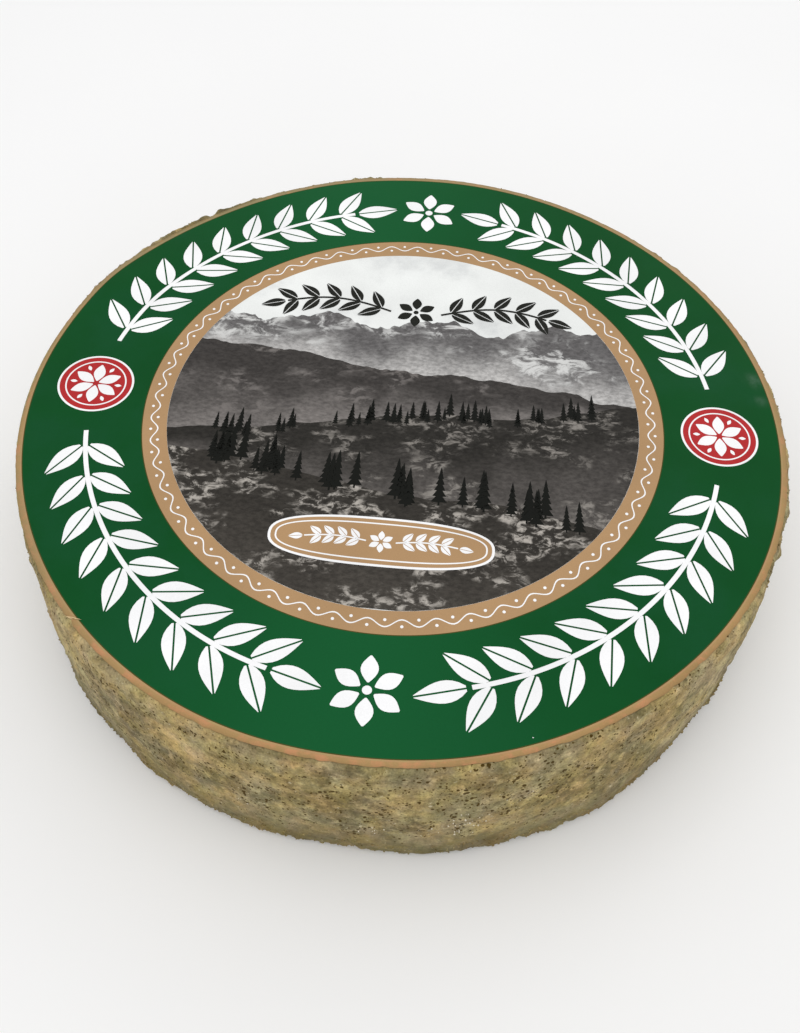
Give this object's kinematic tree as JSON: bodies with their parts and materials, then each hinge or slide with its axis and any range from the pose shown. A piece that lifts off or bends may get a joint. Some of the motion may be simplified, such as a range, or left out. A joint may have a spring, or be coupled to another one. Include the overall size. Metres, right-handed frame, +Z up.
{
  "type": "raclette cheese wheel",
  "caption": "Low round wheel of ripened melting cheese with an uneven natural rind, rounded edges, a flat base and a round printed paper label pasted over its top.",
  "frame": {"origin": "centre of the flat base, on the wheel's axis", "axes": "+Z up along the wheel's axis, -Y towards the front that the picture shows, +X to the picture's right"},
  "size_m": [0.317, 0.3172, 0.0717],
  "materials": {
    "rind": "matte",
    "printed_paper": "satin"
  },
  "bodies": {
    "root": {"cheese_wheel": "rind", "paper_label": "printed_paper"}
  },
  "joints": []
}
